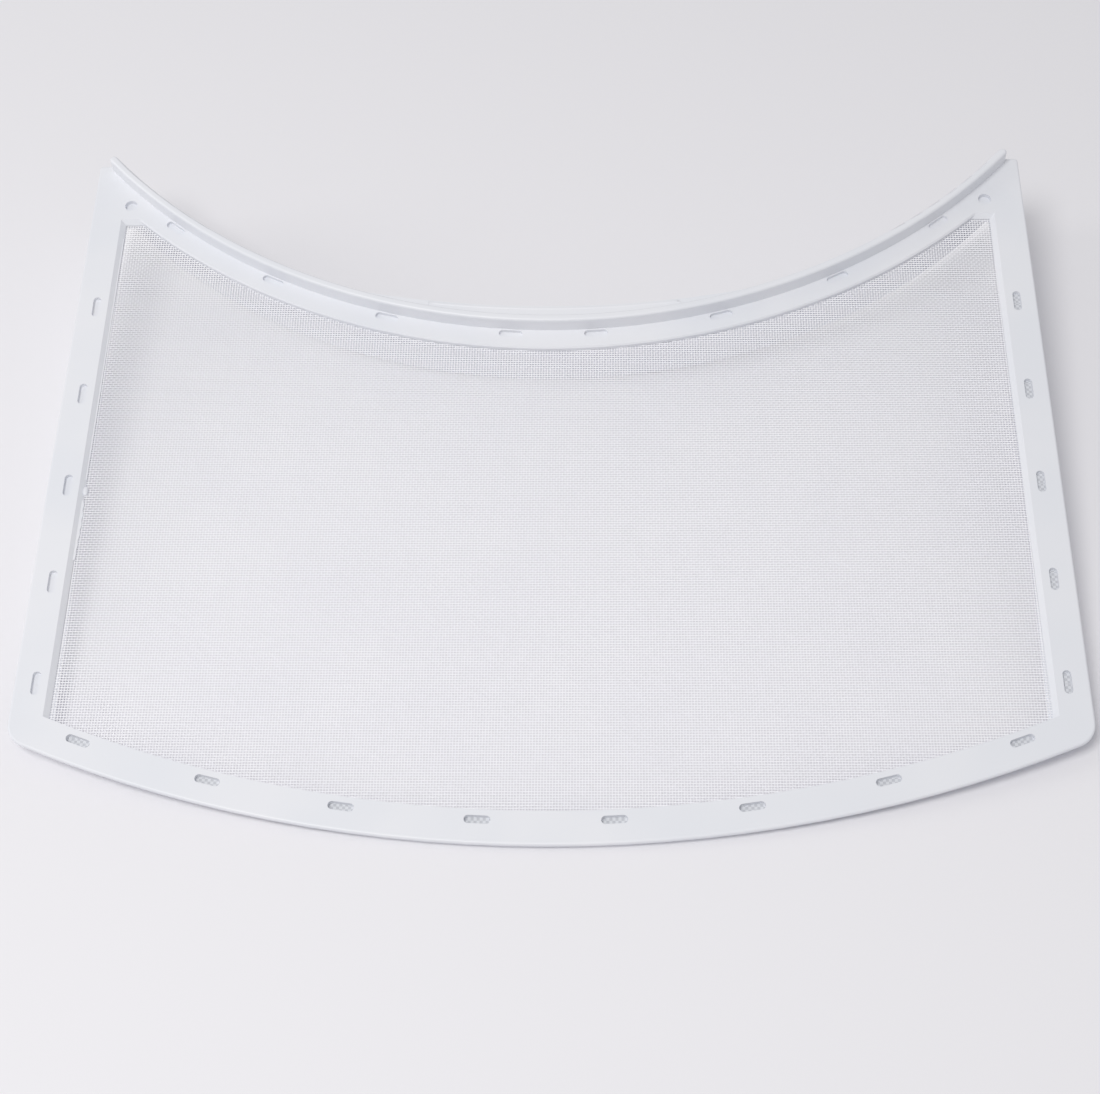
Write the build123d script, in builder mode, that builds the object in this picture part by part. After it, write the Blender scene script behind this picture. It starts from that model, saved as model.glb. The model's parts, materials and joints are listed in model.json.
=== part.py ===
"""Tumble dryer lint filter: one moulded frame that holds a woven screen.

The filter lies as it rests on a table: the flange leans, with its lower edge down in front and
the foot of its skirt down at the back. The origin is on the table, under the middle of the
filter, with X to the right, Y away from the lower edge and Z up. Sizes are in millimetres.
Places on the flange are given in its own plane, with u across and v up from the middle of the
lower edge.
"""

import os
from math import asin, atan2, cos, degrees, hypot, radians, sin, sqrt, tan

from build123d import *

# Outline of the flange
lower_edge_radius = 512.5
lower_half_width = 207.0
upper_half_width = 204.0
screen_depth = 234.0
lower_corner_radius = 10.0
upper_corner_radius = 1.5

# Flange around the screen
flange_thickness = 4.0
rim_overhang = 1.6
overhang_thickness = 1.7
lower_band = 13.7
side_band = 13.2
upper_band = 9.2
corner_web = 30.6
window_slope = 2.0
top_edge_round = 0.9
upper_window_bevel = 0.6

# Curved strip at the upper edge: a lip above the flange, a skirt below it
strip_face_radius = 263.0
strip_thickness = 3.5
strip_end_inset = 7.6
lip_height = 7.0
skirt_depth = 36.0
lip_round = 1.1

# Walls under the sides of the flange, which taper off towards the lower corners
side_wall = 2.0
side_wall_start = 60.0

# Finger grip behind the lip, with a thin rim that runs out beside it
grip_length = 107.0
grip_depth = 8.0
grip_round = 2.0
rim_tail = 27.5
rim_reach = 4.6
rim_drop = 1.0
rim_thickness = 2.0

# Slots and holes in the face of the flange
slot_length = 10.0
slot_width = 3.3
lower_slot_count = 8
lower_slot_pitch = 51.0
lower_slot_inset = 9.6
side_slot_count = 5
side_slot_pitch = 45.25
side_slot_first = 67.0
side_slot_inset = 8.4
upper_slot_count = 4
upper_slot_first = 3.9
upper_slot_pitch = 11.65
upper_slot_gap = 0.5
corner_hole_diameter = 5.5
corner_hole_depth = 2.0
corner_hole_side = 16.7
corner_hole_top = 23.0

# Woven screen, moulded into the flange
screen_thickness = 0.4
screen_level = 2.2
screen_overlap = 8.9
screen_web_overlap = 5.0
ledge_width = 1.7
ledge_length = 100.0
thread_ridge_width = 1.0
thread_ridge_height = 0.3
thread_ridge_pitch = 11.0
thread_ridge_margin = 1.0
gap_step = 4

# Places that follow from the sizes above
lower_centre = lower_edge_radius
strip_centre = screen_depth + strip_face_radius
window_lower_radius = lower_edge_radius - lower_band
window_upper_radius = strip_face_radius + upper_band
window_inset = side_band + window_slope
strip_middle_radius = strip_face_radius - strip_thickness / 2
strip_back_radius = strip_face_radius - strip_thickness
strip_end = upper_half_width - strip_end_inset
strip_half_angle = degrees(asin(strip_end / strip_middle_radius))


def arc_height(radius, centre, u):
    """v of the lower side of a circle about (0, centre)."""
    return centre - sqrt(radius**2 - u**2)


top_edge = arc_height(strip_middle_radius, strip_centre, strip_end) + strip_thickness / 2
web_edge = top_edge - corner_web
web_foot = web_edge - window_slope
side_taper = degrees(atan2(lower_half_width - upper_half_width, top_edge))
rest_drop = skirt_depth - flange_thickness
rest_tilt = atan2(rest_drop, screen_depth - rim_overhang)
rest_length = top_edge * cos(rest_tilt) + skirt_depth * sin(rest_tilt)


def half_width(v, inset=0.0):
    """Half the flange's width at v, less an inset from its outer side."""
    return lower_half_width - inset / cos(radians(side_taper)) - v * tan(radians(side_taper))


flange_plane = Plane(
    origin=(
        0,
        -rest_length / 2,
        flange_thickness * cos(rest_tilt) - rim_overhang * sin(rest_tilt),
    ),
    x_dir=(1, 0, 0),
    z_dir=(0, -sin(rest_tilt), cos(rest_tilt)),
)
screen_top = flange_plane.offset(-screen_level)
screen_bottom = flange_plane.offset(-screen_level - screen_thickness)
side_plane = Plane(
    origin=flange_plane.origin,
    x_dir=flange_plane.y_dir,
    z_dir=flange_plane.x_dir,
)


def sides_outline(inset, top):
    """Four-sided face between the leaning sides, from below the lower edge up to top."""
    base = -lower_band
    with BuildSketch() as sides:
        with BuildLine():
            Polyline(
                (-half_width(base, inset), base),
                (half_width(base, inset), base),
                (half_width(top, inset), top),
                (-half_width(top, inset), top),
                close=True,
            )
        make_face()
    return sides.sketch


def flange_outline(inset, corner_radius):
    """Outside of the flange, drawn in by inset at its lower edge and its sides."""
    with BuildSketch() as outline:
        with Locations((0, lower_centre)):
            Circle(lower_edge_radius - inset)
        add(sides_outline(inset, top_edge), mode=Mode.INTERSECT)
        with Locations((0, strip_centre)):
            Circle(strip_middle_radius, mode=Mode.SUBTRACT)
        fillet(outline.vertices().group_by(Axis.Y)[0], corner_radius)
        upper_corners = outline.vertices().group_by(Axis.Y)[-1].sort_by(Axis.X)
        fillet([upper_corners[0], upper_corners[-1]], upper_corner_radius)
    return outline.sketch


def window_outline(grow, web_grow):
    """Opening of the flange at the screen, grown by grow, and by web_grow at the corner webs."""
    with BuildSketch() as window:
        with Locations((0, lower_centre)):
            Circle(window_lower_radius + grow)
        add(sides_outline(window_inset - grow, web_foot + web_grow), mode=Mode.INTERSECT)
        with Locations((0, strip_centre)):
            Circle(window_upper_radius - grow, mode=Mode.SUBTRACT)
    return window.sketch


def lower_window_outline(grow):
    """Opening below the screen: narrower by a tapered ledge in each lower corner."""
    corner = arc_height(window_lower_radius, lower_centre, half_width(0, window_inset))
    with BuildSketch() as window:
        add(window_outline(grow, grow))
        for side in (-1, 1):
            low = half_width(corner, window_inset)
            high = half_width(corner + ledge_length, window_inset)
            with BuildLine():
                Polyline(
                    (side * (low - ledge_width + grow), corner - ledge_width),
                    (side * (low - ledge_width + grow), corner + ledge_width),
                    (side * (high + grow), corner + ledge_length),
                    (side * (low + side_band), corner + ledge_length),
                    (side * (low + side_band), corner - ledge_width),
                    close=True,
                )
            make_face(mode=Mode.SUBTRACT)
    return window.sketch


def inside_window(u, v, margin):
    """Whether a point lies in the opening below the screen, clear of its edge by margin."""
    return (
        hypot(u, v - lower_centre) < window_lower_radius - margin
        and hypot(u, v - strip_centre) > window_upper_radius + margin
        and abs(u) < half_width(v, window_inset + ledge_width + margin)
        and v < web_foot - margin
    )


def slot_places():
    """Place and turn of every slot, as (u, v, angle)."""
    places = []
    lower_radius = lower_edge_radius - lower_slot_inset
    for number in range(lower_slot_count):
        u = (number - (lower_slot_count - 1) / 2) * lower_slot_pitch
        turn = degrees(asin(u / lower_radius))
        places.append((u, arc_height(lower_radius, lower_centre, u), turn))
    upper_radius = strip_face_radius + upper_slot_gap + slot_width / 2
    for number in range(upper_slot_count):
        turn = upper_slot_first + number * upper_slot_pitch
        u = upper_radius * sin(radians(turn))
        for side in (-1, 1):
            places.append((side * u, arc_height(upper_radius, strip_centre, u), side * turn))
    for number in range(side_slot_count):
        v = side_slot_first + number * side_slot_pitch
        for side in (-1, 1):
            u = side * half_width(v, side_slot_inset)
            places.append((u, v, 90 + side * side_taper))
    return places


def rim_outline(length):
    """Lens behind the strip, from its middle line out to rim_reach, cut to a length."""
    reach_u = grip_length / 2 + rim_tail
    end_v = arc_height(strip_back_radius, strip_centre, reach_u)
    root_v = arc_height(strip_middle_radius, strip_centre, reach_u)
    root_middle = strip_centre - strip_middle_radius
    far_middle = strip_centre - strip_back_radius + rim_reach
    with BuildSketch() as rim:
        with BuildLine():
            ThreePointArc((-reach_u, end_v), (0, far_middle), (reach_u, end_v))
            Line((reach_u, end_v), (reach_u, root_v))
            ThreePointArc((reach_u, root_v), (0, root_middle), (-reach_u, root_v))
            Line((-reach_u, root_v), (-reach_u, end_v))
        make_face()
        with Locations((0, far_middle)):
            Rectangle(length, 2 * reach_u, mode=Mode.INTERSECT)
    return rim.sketch


# Woven screen: a thin wall with warp ridges above, weft ridges below and gaps between them
ridge_reach = 2 * lower_half_width
screen_gap = thread_ridge_pitch - thread_ridge_width
half_warp_count = int(lower_half_width / thread_ridge_pitch)
half_weft_count = 2 * int(top_edge / 4 / thread_ridge_pitch)
gap_places = []
for row in range(-half_weft_count, half_weft_count + 1, 2):
    for column in range(-half_warp_count, half_warp_count + 1):
        gap_u = column * thread_ridge_pitch
        gap_v = web_edge / 2 + row * thread_ridge_pitch
        in_pattern = (column + row) % gap_step == 0
        if in_pattern and inside_window(gap_u, gap_v, screen_gap):
            gap_places.append((gap_u, gap_v))

with BuildPart() as mesh_screen:
    with BuildSketch(screen_bottom):
        add(window_outline(screen_overlap, screen_web_overlap))
    extrude(amount=screen_thickness)
    with BuildSketch(screen_top):
        with Locations((0, web_edge / 2)):
            with GridLocations(thread_ridge_pitch, thread_ridge_pitch, 2 * half_warp_count, 1):
                Rectangle(thread_ridge_width, ridge_reach)
        add(lower_window_outline(-thread_ridge_margin), mode=Mode.INTERSECT)
    extrude(amount=thread_ridge_height)
    with BuildSketch(screen_bottom):
        with Locations((0, web_edge / 2)):
            with GridLocations(thread_ridge_pitch, thread_ridge_pitch, 1, 2 * half_weft_count):
                Rectangle(ridge_reach, thread_ridge_width)
        add(lower_window_outline(-thread_ridge_margin), mode=Mode.INTERSECT)
    extrude(amount=-thread_ridge_height)
    with BuildSketch(screen_top):
        with Locations(*gap_places):
            Rectangle(screen_gap, screen_gap)
    extrude(amount=-screen_thickness, mode=Mode.SUBTRACT)

# Side walls: as deep as the skirt beside it, with a foot that rises towards the lower corners
with BuildPart() as side_walls:
    with BuildSketch(flange_plane.offset(-overhang_thickness)):
        add(flange_outline(rim_overhang, lower_corner_radius - rim_overhang))
        add(sides_outline(rim_overhang + side_wall, top_edge - side_wall), mode=Mode.SUBTRACT)
    extrude(amount=overhang_thickness - skirt_depth)
    with BuildSketch(side_plane):
        with BuildLine():
            Polyline(
                (side_wall_start, -flange_thickness),
                (screen_depth, -skirt_depth),
                (screen_depth, -2 * skirt_depth),
                (-lower_band, -2 * skirt_depth),
                (-lower_band, -flange_thickness),
                close=True,
            )
        make_face()
    extrude(amount=lower_half_width, both=True, mode=Mode.SUBTRACT)

# Frame: flange with its window, curved strip, walls, grip, slots, holes and the screen's seat
flange_axis = Axis(flange_plane.origin, flange_plane.z_dir)
hole_v = top_edge - corner_hole_top
hole_u = half_width(hole_v, corner_hole_side)
slot_locations = [Location((u, v, 0), (0, 0, turn)) for u, v, turn in slot_places()]
rim_plane = flange_plane.offset(lip_height - rim_drop)
strip_line = CenterArc(
    (0, strip_centre),
    strip_middle_radius,
    270 - strip_half_angle,
    2 * strip_half_angle,
)

with BuildPart() as frame:
    with BuildSketch(flange_plane):
        add(flange_outline(0, lower_corner_radius))
    extrude(amount=-overhang_thickness)
    with BuildSketch(flange_plane):
        add(flange_outline(rim_overhang, lower_corner_radius - rim_overhang))
    extrude(amount=-flange_thickness)
    with BuildSketch(flange_plane):
        add(window_outline(0, 0))
    extrude(amount=-screen_level, mode=Mode.SUBTRACT)
    flange_top = frame.faces().sort_by(flange_axis)[-1]
    fillet(flange_top.outer_wire().edges(), top_edge_round)
    flange_top = frame.faces().sort_by(flange_axis)[-1]
    chamfer(flange_top.inner_wires()[0].edges().filter_by(GeomType.LINE), window_slope)
    flange_top = frame.faces().sort_by(flange_axis)[-1]
    window_arcs = flange_top.inner_wires()[0].edges().filter_by(GeomType.CIRCLE)
    chamfer(window_arcs.sort_by(SortBy.RADIUS)[0], upper_window_bevel)

    # Seat of the screen inside the flange, and the opening below it
    with BuildSketch(screen_top):
        add(window_outline(screen_overlap, screen_web_overlap))
    extrude(amount=-screen_thickness, mode=Mode.SUBTRACT)
    with BuildSketch(screen_bottom):
        add(lower_window_outline(0))
    extrude(amount=-flange_thickness, mode=Mode.SUBTRACT)

    # Slots that bare the screen, and shallow corner holes
    with BuildSketch(flange_plane):
        with Locations(*slot_locations):
            SlotOverall(slot_length, slot_width)
    extrude(amount=-screen_level, mode=Mode.SUBTRACT)
    with BuildSketch(flange_plane):
        with Locations((-hole_u, hole_v), (hole_u, hole_v)):
            Circle(corner_hole_diameter / 2)
    extrude(amount=-corner_hole_depth, mode=Mode.SUBTRACT)

    # Lip and skirt
    with BuildSketch(flange_plane.offset(lip_height)):
        SlotArc(strip_line, strip_thickness)
    extrude(amount=-lip_height - skirt_depth)
    fillet(frame.faces().sort_by(flange_axis)[-1].edges(), lip_round)

    add(side_walls.part)

    # Rim behind the lip, deeper in the middle as a finger grip
    with BuildSketch(rim_plane):
        add(rim_outline(grip_length + 2 * rim_tail))
    extrude(amount=-rim_thickness)
    with BuildSketch(rim_plane) as grip:
        add(rim_outline(grip_length))
        fillet(grip.vertices().group_by(Axis.Y)[-1], grip_round)
    extrude(amount=-grip_depth)

os.makedirs("parts", exist_ok=True)
frame.part.label = "frame"
mesh_screen.part.label = "mesh_screen"
export_step(frame.part, "parts/frame.step")
export_step(mesh_screen.part, "parts/mesh_screen.step")
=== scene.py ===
import json
import math

import bmesh
import bpy
import numpy as np
from mathutils import Matrix, Vector


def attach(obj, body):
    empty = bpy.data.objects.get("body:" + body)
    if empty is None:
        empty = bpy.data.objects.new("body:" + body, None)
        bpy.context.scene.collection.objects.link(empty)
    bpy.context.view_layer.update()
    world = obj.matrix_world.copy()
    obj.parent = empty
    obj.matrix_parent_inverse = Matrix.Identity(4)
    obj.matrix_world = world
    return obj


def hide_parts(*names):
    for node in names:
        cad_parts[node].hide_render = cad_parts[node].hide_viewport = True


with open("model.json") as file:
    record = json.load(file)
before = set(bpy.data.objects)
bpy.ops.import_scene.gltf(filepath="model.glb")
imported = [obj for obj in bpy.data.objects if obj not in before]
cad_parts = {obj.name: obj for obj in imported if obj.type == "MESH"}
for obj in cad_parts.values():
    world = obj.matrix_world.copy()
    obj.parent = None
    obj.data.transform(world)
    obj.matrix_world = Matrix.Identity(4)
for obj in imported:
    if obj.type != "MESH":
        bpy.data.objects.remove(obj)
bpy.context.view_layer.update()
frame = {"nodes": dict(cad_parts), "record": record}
mm = 0.001
print("frame loaded:", sorted(frame["nodes"]))


# Small helpers

def linearColour(hexValue):
    channels = [int(hexValue[i:i + 2], 16) / 255 for i in (1, 3, 5)]
    linear = [c / 12.92 if c <= 0.04045 else ((c + 0.055) / 1.055) ** 2.4 for c in channels]
    return (*linear, 1.0)


def addNode(tree, kind, settings=None, inputs=None, links=None):
    node = tree.nodes.new(kind)
    for name, value in (settings or {}).items():
        setattr(node, name, value)
    for name, value in (inputs or {}).items():
        node.inputs[name].default_value = value
    for name, socket in (links or {}).items():
        tree.links.new(socket, node.inputs[name])
    return node


def newMaterial(name):
    material = bpy.data.materials.new(name)
    material.use_nodes = True
    material.node_tree.nodes.clear()
    return material, material.node_tree


def selectOnly(piece):
    if bpy.context.object and bpy.context.object.mode != "OBJECT":
        bpy.ops.object.mode_set(mode="OBJECT")
    bpy.ops.object.select_all(action="DESELECT")
    piece.select_set(True)
    bpy.context.view_layer.objects.active = piece


# Plane of the flange, from the seat on its underside

flange = {
    "seatUp": 7.0 * mm,  # the seat's mark, up the flange from the middle of the lower edge
    "thickness": 4.0 * mm,
}
seat = next(m for m in frame["record"]["mounts"] if m["name"] == "flange_seat")
flangeNormal = -Vector(seat["axis"]).normalized()
flangeUp = flangeNormal.cross(Vector((1, 0, 0)))
flangeOrigin = (
    Vector(seat["pos_m"]) - flangeUp * flange["seatUp"] + flangeNormal * flange["thickness"]
)
flangeMatrix = Matrix.Translation(flangeOrigin) @ Matrix(
    (Vector((1, 0, 0)), flangeUp, flangeNormal)
).transposed().to_4x4()


# Materials

def cloudedTint(tree, place, cloud, stops):
    # soft clouds of the given size, between two tints
    clouds = addNode(
        tree, "ShaderNodeTexNoise", {"noise_dimensions": "3D"},
        {"Scale": 1 / cloud, "Detail": 2.0},
        {"Vector": place.outputs["Object"]},
    )
    tint = addNode(tree, "ShaderNodeValToRGB", links={"Fac": clouds.outputs["Fac"]})
    for element, (position, hexValue) in zip(tint.color_ramp.elements, stops):
        element.position = position
        element.color = linearColour(hexValue)
    return tint


def mouldedPolypropylene():
    # polypropylene from a satin-polished mould: opaque cool white with a soft sheen
    cloud = 45 * mm
    grain = 0.8 * mm  # drawn much coarser than a satin finish's own, so that it shows
    material, tree = newMaterial("moulded_polypropylene_white")
    place = addNode(tree, "ShaderNodeTexCoord")
    tint = cloudedTint(tree, place, cloud, ((0.35, "#E4E6EB"), (0.65, "#E8E9ED")))
    grains = addNode(
        tree, "ShaderNodeTexNoise", {"noise_dimensions": "3D"},
        {"Scale": 1 / grain, "Detail": 1.0},
        {"Vector": place.outputs["Object"]},
    )
    bump = addNode(
        tree, "ShaderNodeBump", None, {"Strength": 0.12, "Distance": 0.05 * mm},
        {"Height": grains.outputs["Fac"]},
    )
    shader = addNode(
        tree, "ShaderNodeBsdfPrincipled", None, {"Roughness": 0.38, "IOR": 1.49},
        {"Base Color": tint.outputs["Color"], "Normal": bump.outputs["Normal"]},
    )
    addNode(tree, "ShaderNodeOutputMaterial", links={"Surface": shader.outputs["BSDF"]})
    return material


def wovenPolyester():
    # drawn polyester monofilament: smooth white threads with a soft sheen
    cloud = 30 * mm
    material, tree = newMaterial("woven_polyester_monofilament")
    place = addNode(tree, "ShaderNodeTexCoord")
    tint = cloudedTint(tree, place, cloud, ((0.3, "#FBFBFE"), (0.7, "#FDFDFF")))
    shader = addNode(
        tree, "ShaderNodeBsdfPrincipled", None,
        {"Roughness": 0.36, "IOR": 1.57, "Specular IOR Level": 0.22},
        {"Base Color": tint.outputs["Color"]},
    )
    addNode(tree, "ShaderNodeOutputMaterial", links={"Surface": shader.outputs["BSDF"]})
    return material


plastic = mouldedPolypropylene()
polyester = wovenPolyester()


# Frame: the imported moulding, with its finish

moulding = frame["nodes"]["frame"]
moulding.data.materials.clear()
moulding.data.materials.append(plastic)
print("frame finished")


# Woven screen: one cell of plain weave, repeated in strips and trimmed to the screen's outline

screen = {
    "pitch": 1.12 * mm,  # from thread to thread
    "threadRadius": 0.18 * mm,
    "flatten": 0.861,  # height of a thread, pressed flat, as a share of a round one's
    "weftTilt": 25,  # degrees that the upper side of the cross threads leans to the lower edge
    "warpTilt": 12,  # and that of the long threads to the right
    "crimp": 0.083 * mm,  # how far a thread leaves the middle plane at a crossing, where held
    "freeCrimp": 1.6,  # how much taller the waves stand inside the window
    "level": -2.365 * mm,  # middle plane, below the flange's face
    "foot": -2.6 * mm,  # lowest point of the threads
    "held": 9.4 * mm,  # width of the rim held in the frame
    "heldTop": 5.4 * mm,
    "lowerCentre": 512.5 * mm,
    "lowerRadius": 507.4 * mm,
    "upperCentre": 497.0 * mm,
    "upperRadius": 263.6 * mm,
    "halfWidth": 200.4 * mm,  # at the lower edge
    "taper": 0.0092,  # how much each side leans in, per length
    "top": 298.6 * mm,
    "strips": 6,
    "joinWithin": 0.01,  # thread ends this near, as a share of the pitch, become one
    "areaGrid": (60, 600),  # points across and up that the cut area is counted on
}


def insideScreen(u, v, rim=0.0, rimTop=0.0):
    return (
        (np.hypot(u, v - screen["lowerCentre"]) < screen["lowerRadius"] - rim)
        & (np.hypot(u, v - screen["upperCentre"]) > screen["upperRadius"] + rim)
        & (np.abs(u) < screen["halfWidth"] - rim - screen["taper"] * v)
        & (v < screen["top"] - rimTop)
    )


def weaveThread(start, step, rise, tilt):
    # three-sided thread, one side up, two crossings long: up, down and up again
    along = Vector(step).normalized()
    bpy.ops.object.select_all(action="DESELECT")
    bpy.ops.mesh.primitive_circle_add(
        vertices=3, radius=screen["threadRadius"],
        location=(start[0], start[1], rise),
        rotation=(-math.pi / 2, 0, math.atan2(-along.x, along.y)),
    )
    thread = bpy.context.object
    thread.data.transform(Matrix.Rotation(math.radians(tilt), 4, "Z"))
    thread.scale.y = screen["flatten"]
    bpy.ops.object.transform_apply(location=True, rotation=True, scale=True)
    bpy.ops.object.mode_set(mode="EDIT")
    bpy.ops.mesh.select_all(action="SELECT")
    for lift in (-2 * rise, 2 * rise):
        bpy.ops.mesh.extrude_region_move(
            TRANSFORM_OT_translate={"value": (step[0], step[1], lift)}
        )
    bpy.ops.object.mode_set(mode="OBJECT")
    return thread


def weaveCell():
    pitch, crimp = screen["pitch"], screen["crimp"]
    warpTilt, weftTilt = screen["warpTilt"], screen["weftTilt"]
    threads = [
        weaveThread((0, 0), (0, pitch), crimp, warpTilt),
        weaveThread((pitch, 0), (0, pitch), -crimp, warpTilt),
        weaveThread((0, 0), (pitch, 0), -crimp, weftTilt),
        weaveThread((0, pitch), (pitch, 0), crimp, weftTilt),
    ]
    bpy.ops.object.select_all(action="DESELECT")
    for thread in threads:
        thread.select_set(True)
    bpy.context.view_layer.objects.active = threads[0]
    bpy.ops.object.join()
    bpy.ops.object.mode_set(mode="EDIT")
    bpy.ops.mesh.select_all(action="SELECT")
    bpy.ops.mesh.normals_make_consistent(inside=False)
    bpy.ops.object.mode_set(mode="OBJECT")
    return threads[0]


def trimStrip(strip):
    # taller waves inside the window, then cut to the outline, with the cut ends closed
    places = np.empty(len(strip.data.vertices) * 3, np.float32)
    strip.data.vertices.foreach_get("co", places)
    places = places.reshape(-1, 3)
    outside = ~insideScreen(places[:, 0], places[:, 1])
    free = insideScreen(places[:, 0], places[:, 1], screen["held"], screen["heldTop"])
    places[free, 2] = screen["foot"] + (places[free, 2] - screen["foot"]) * screen["freeCrimp"]
    strip.data.vertices.foreach_set("co", places.ravel())
    bpy.ops.object.mode_set(mode="EDIT")
    bpy.ops.mesh.select_mode(type="VERT")
    bpy.ops.mesh.select_all(action="DESELECT")
    bpy.ops.object.mode_set(mode="OBJECT")
    strip.data.vertices.foreach_set("select", outside)
    bpy.ops.object.mode_set(mode="EDIT")
    bpy.ops.mesh.delete(type="VERT")
    bpy.ops.mesh.select_all(action="SELECT")
    bpy.ops.mesh.fill_holes(sides=8)
    bpy.ops.object.mode_set(mode="OBJECT")


def weaveStrip(cell, number, cellsAcross, cellsUp):
    size = 2 * screen["pitch"]
    strip = cell.copy()
    strip.data = cell.data.copy()
    strip.name = strip.data.name = f"screen_weave_{number + 1}"
    bpy.context.collection.objects.link(strip)
    selectOnly(strip)
    for name, count, offset in (
        ("across", cellsAcross, (size, 0, 0)),
        ("up", cellsUp, (0, size, 0)),
    ):
        array = strip.modifiers.new(name, "ARRAY")
        array.count = count
        array.use_relative_offset = False
        array.use_constant_offset = True
        array.constant_offset_displace = offset
        array.use_merge_vertices = True
        array.merge_threshold = screen["joinWithin"] * screen["pitch"]
        bpy.ops.object.modifier_apply(modifier=name)
    left = (number - screen["strips"] / 2) * cellsAcross * size
    strip.data.transform(Matrix.Translation((left, 0, screen["level"])))
    trimStrip(strip)
    strip.data.transform(flangeMatrix)
    bpy.ops.object.shade_flat()
    strip.data.materials.clear()
    strip.data.materials.append(polyester)
    return strip


def declareStrip(strip):
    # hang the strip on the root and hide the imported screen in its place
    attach(strip, "root")
    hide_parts("mesh_screen")


def weaveScreen():
    size = 2 * screen["pitch"]
    cellsAcross = math.ceil(2 * screen["halfWidth"] / screen["strips"] / size)
    cellsUp = math.ceil(screen["top"] / size)
    cell = weaveCell()
    strips = [weaveStrip(cell, n, cellsAcross, cellsUp) for n in range(screen["strips"])]
    bpy.data.objects.remove(cell)
    for strip in strips:
        declareStrip(strip)
    return strips


strips = weaveScreen()
print("screen woven:", [len(s.data.polygons) for s in strips])


# Small pieces on the frame, drawn in the flange's plane

def skinRings(shape, rings):
    # faces from ring to ring, with both ends closed
    for low, high in zip(rings, rings[1:]):
        for corner in range(len(low)):
            after = (corner + 1) % len(low)
            shape.faces.new((low[corner], low[after], high[after], high[corner]))
    shape.faces.new(rings[0])
    shape.faces.new(rings[-1])


def smallPiece(name, shape, finish):
    bmesh.ops.recalc_face_normals(shape, faces=shape.faces)
    shape.transform(flangeMatrix)
    mesh = bpy.data.meshes.new(name)
    shape.to_mesh(mesh)
    shape.free()
    piece = bpy.data.objects.new(name, mesh)
    bpy.context.collection.objects.link(piece)
    piece.data.materials.append(finish)
    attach(piece, "root")
    return piece


# Flash: plastic that crept out along the foot of the window's left wall

flash = {
    "wallFoot": 191.8 * mm,  # half width of the window at the lower edge's height
    "foot": -2.2 * mm,
    "bite": 0.9 * mm,  # how far it reaches into the wall
    "topShare": 0.8,  # width at its top, as a share of that at its foot
    "hair": {
        "from": 286 * mm, "to": 161 * mm, "height": 0.5 * mm,
        "widths": (0.15, 0.25, 0.2, 0.3, 0.2),  # in mm, from end to end
    },
    "skin": {
        "from": 151 * mm, "to": 123 * mm, "height": 0.6 * mm,
        "widths": (0.3, 0.9, 0.6, 1.2, 0.8, 1.3, 0.7, 1.1, 0.5, 0.9, 0.4, 0.7, 0.3),
    },
    "lump": {
        "place": (-189.9 * mm, 155.6 * mm, -1.8 * mm),
        "size": (1.1 * mm, 2.2 * mm, 0.8 * mm),
    },
}


def flashStrip(shape, strip):
    foot, top = flash["foot"], flash["foot"] + strip["height"]
    rows = []
    for number, width in enumerate(strip["widths"]):
        v = strip["from"] + (strip["to"] - strip["from"]) * number / (len(strip["widths"]) - 1)
        edge = screen["taper"] * v - flash["wallFoot"]
        root = edge - flash["bite"]
        profile = (
            (root, foot), (edge + width * mm, foot),
            (edge + flash["topShare"] * width * mm, top), (root, top),
        )
        rows.append([shape.verts.new((u, v, w)) for u, w in profile])
    skinRings(shape, rows)


def mouldFlash():
    shape = bmesh.new()
    flashStrip(shape, flash["hair"])
    flashStrip(shape, flash["skin"])
    lump = flash["lump"]
    spot = Matrix.Translation(lump["place"]) @ Matrix.Diagonal((*lump["size"], 1.0))
    bmesh.ops.create_icosphere(shape, subdivisions=3, radius=1.0, matrix=spot)
    return smallPiece("flash", shape, plastic)


mouldFlash()
print("flash moulded")


# Floors of the slots: plain plastic in the upper and left ones; in the others a pale check of
# threads on painted shade, the grey standing for the shade under the screen

slots = {
    "length": 10.2 * mm,  # a little over the slot's, so that the floor joins its wall
    "width": 3.5 * mm,
    "foot": -2.5 * mm,  # of the floor, below the flange's face
    "endSteps": 8,
    "lower": {
        "depth": 2.0 * mm, "count": 8, "pitch": 51 * mm,
        "radius": 502.9 * mm, "centre": 512.5 * mm,
    },
    "upper": {
        "depth": 1.5 * mm, "count": 4, "first": 3.9, "pitch": 11.65,  # in degrees
        "radius": 265.15 * mm, "centre": 497 * mm,
    },
    "side": {
        "depth": 1.7 * mm, "count": 5, "first": 67 * mm, "pitch": 45.25 * mm,
        "inset": 198.6 * mm,
    },
}


def screenCheckOnPaintedShade():
    # the screen's threads as a pale check on grey, and the grey is painted shade: it stands
    # for the dark hollow seen through the screen in a slot
    material, tree = newMaterial("screen_check_on_painted_shade")
    place = addNode(tree, "ShaderNodeTexCoord")
    # pale threads on painted shade: the darker check colour is the painted shade under the
    # screen
    threads = addNode(
        tree, "ShaderNodeTexChecker", None,
        {
            "Color1": linearColour("#DCDEE2"),
            "Color2": linearColour("#C6C8CD"),
            "Scale": 1 / screen["pitch"],
        },
        {"Vector": place.outputs["Object"]},
    )
    shader = addNode(
        tree, "ShaderNodeBsdfPrincipled", None, {"Roughness": 0.45, "IOR": 1.49},
        {"Base Color": threads.outputs["Color"]},
    )
    addNode(tree, "ShaderNodeOutputMaterial", links={"Surface": shader.outputs["BSDF"]})
    return material


def arcPoint(arc, turn):
    return arc["radius"] * math.sin(turn), arc["centre"] - arc["radius"] * math.cos(turn)


def lowerPlaces():
    row = slots["lower"]
    for number in range(row["count"]):
        turn = math.asin((number - (row["count"] - 1) / 2) * row["pitch"] / row["radius"])
        yield row["depth"], arcPoint(row, turn), turn


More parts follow.
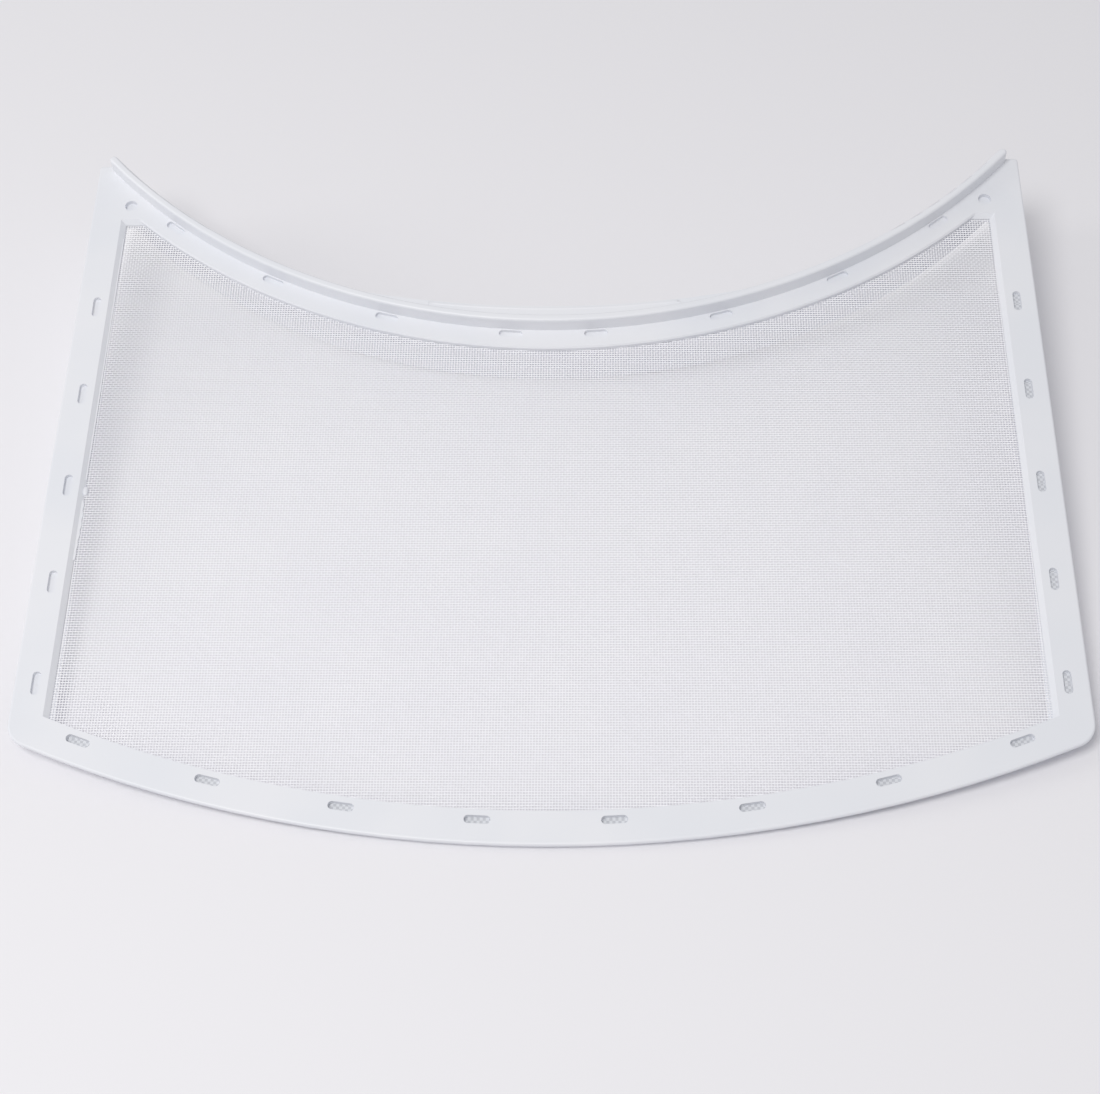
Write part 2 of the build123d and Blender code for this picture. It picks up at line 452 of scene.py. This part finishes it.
def upperPlaces():
    row = slots["upper"]
    for number in range(row["count"]):
        for side in (-1, 1):
            turn = side * math.radians(row["first"] + number * row["pitch"])
            yield row["depth"], arcPoint(row, turn), turn


def sidePlaces(side):
    row = slots["side"]
    for number in range(row["count"]):
        v = row["first"] + number * row["pitch"]
        u = side * (row["inset"] - screen["taper"] * v)
        yield row["depth"], (u, v), math.pi / 2 + side * screen["taper"]


def slotOutline():
    radius, steps = slots["width"] / 2, slots["endSteps"]
    straight = slots["length"] / 2 - radius
    angles = [math.pi * (step / steps - 0.5) for step in range(steps + 1)]
    half = [(straight + radius * math.cos(a), radius * math.sin(a)) for a in angles]
    return half + [(-x, -y) for x, y in half]


def slotFloors(name, places, finish):
    shape = bmesh.new()
    outline = slotOutline()
    for depth, (u, v), turn in places:
        spot = Matrix.Translation((u, v, 0)) @ Matrix.Rotation(turn, 4, "Z")
        rings = [
            [shape.verts.new(spot @ Vector((x, y, w))) for x, y in outline]
            for w in (slots["foot"], -depth)
        ]
        skinRings(shape, rings)
    return smallPiece(name, shape, finish)


slotFloors("slot_floors_plain", [*upperPlaces(), *sidePlaces(-1)], plastic)
# floors of the lower and right slots: thread check on painted shade
slotFloors("slot_floors_screen_on_painted_shade", [*lowerPlaces(), *sidePlaces(1)], screenCheckOnPaintedShade())
print("slots floored")


# Rounded edge along the finger grip

grip = {
    "half": 52.6 * mm,  # half its length, without the rounded ends
    "radius": 394.7 * mm,
    "centre": 635.8 * mm,
    "level": 4.7 * mm,
    "bead": 1.5 * mm,
    "endReach": 0.9 * mm,  # how far a rounded end goes on to the side
    "root": 3.2 * mm,  # and runs back to the lip
    "steps": 48,
    "endSteps": 5,
    "sides": 10,
}


def gripEnd(corner, side):
    angles = [math.pi / 2 * step / grip["endSteps"] for step in range(1, grip["endSteps"] + 1)]
    return [
        (
            corner[0] + side * grip["endReach"] * math.sin(angle),
            corner[1] - grip["root"] * (1 - math.cos(angle)),
        )
        for angle in angles
    ]


def gripPath():
    arc = []
    for step in range(grip["steps"] + 1):
        u = grip["half"] * (2 * step / grip["steps"] - 1)
        arc.append((u, grip["centre"] - math.sqrt(grip["radius"] ** 2 - u ** 2)))
    return [*reversed(gripEnd(arc[0], -1)), *arc, *gripEnd(arc[-1], 1)]


def gripEdge():
    shape = bmesh.new()
    path = [Vector((u, v, grip["level"])) for u, v in gripPath()]
    rings = []
    for number, point in enumerate(path):
        along = path[min(number + 1, len(path) - 1)] - path[max(number - 1, 0)]
        across = Vector((along.y, -along.x, 0)).normalized()
        ring = []
        for step in range(grip["sides"]):
            angle = 2 * math.pi * step / grip["sides"]
            offset = across * math.cos(angle) + Vector((0, 0, 1)) * math.sin(angle)
            ring.append(shape.verts.new(point + grip["bead"] * offset))
        rings.append(ring)
    skinRings(shape, rings)
    for face in shape.faces:
        face.smooth = len(face.verts) == 4  # all but the two ends
    return smallPiece("grip_edge", shape, plastic)


gripEdge()
print("grip edged")


# Floor, light and camera

stage = {
    "floorSize": 6.0,
    "floorColour": "#ECEBEE",
    "worldColour": "#F9F9FC",
    "worldStrength": 0.54,
    "lamps": {
        "key": {"place": (-0.54, -0.72, 1.79), "size": 0.85, "power": 17.9},
        "left": {"place": (-1.81, 0.0, 0.85), "size": 0.9, "power": 4.8},
    },
    "lampColour": "#FFFEFC",
    "diffuseBounces": 10,  # light goes to and fro between the weave and the floor
}
view = {
    "lens": 70.5,
    "sensor": 36.0,
    "clipStart": 0.01,
    "place": (0.02673, -0.57139, 0.69095),
    "lookAt": (0.0, -0.03796, 0.02112),
    "roll": -2.42,  # degrees
}


def paleFloor():
    bpy.ops.object.select_all(action="DESELECT")
    bpy.ops.mesh.primitive_plane_add(size=stage["floorSize"])
    floor = bpy.context.object
    floor.name = "floor"
    material, tree = newMaterial("pale_floor")
    shader = addNode(
        tree, "ShaderNodeBsdfPrincipled", None,
        {
            "Base Color": linearColour(stage["floorColour"]),
            "Roughness": 0.7,
            "Specular IOR Level": 0.2,
        },
    )
    addNode(tree, "ShaderNodeOutputMaterial", links={"Surface": shader.outputs["BSDF"]})
    floor.data.materials.append(material)


def studioLight():
    scene = bpy.context.scene
    scene.world = bpy.data.worlds.new("studio")
    scene.world.use_nodes = True
    tree = scene.world.node_tree
    tree.nodes.clear()
    sky = addNode(
        tree, "ShaderNodeBackground", None,
        {"Color": linearColour(stage["worldColour"]), "Strength": stage["worldStrength"]},
    )
    addNode(tree, "ShaderNodeOutputWorld", links={"Surface": sky.outputs["Background"]})
    for name, lamp in stage["lamps"].items():
        light = bpy.data.lights.new(name, "AREA")
        light.shape = "DISK"
        light.size = lamp["size"]
        light.energy = lamp["power"]
        light.color = linearColour(stage["lampColour"])[:3]
        holder = bpy.data.objects.new(name, light)
        holder.location = lamp["place"]
        holder.rotation_euler = (-Vector(lamp["place"])).to_track_quat("-Z", "Y").to_euler()
        bpy.context.collection.objects.link(holder)
    scene.cycles.diffuse_bounces = stage["diffuseBounces"]
    scene.view_settings.view_transform = "Standard"


def photoCamera():
    lens = bpy.data.cameras.new("camera")
    lens.lens = view["lens"]
    lens.sensor_width = view["sensor"]
    lens.clip_start = view["clipStart"]
    camera = bpy.data.objects.new("camera", lens)
    aim = Vector(view["lookAt"]) - Vector(view["place"])
    turn = aim.to_track_quat("-Z", "Y").to_matrix().to_4x4()
    roll = Matrix.Rotation(math.radians(view["roll"]), 4, "Z")
    camera.matrix_world = Matrix.Translation(view["place"]) @ turn @ roll
    bpy.context.collection.objects.link(camera)
    bpy.context.scene.camera = camera


paleFloor()
studioLight()
photoCamera()
print("stage set")
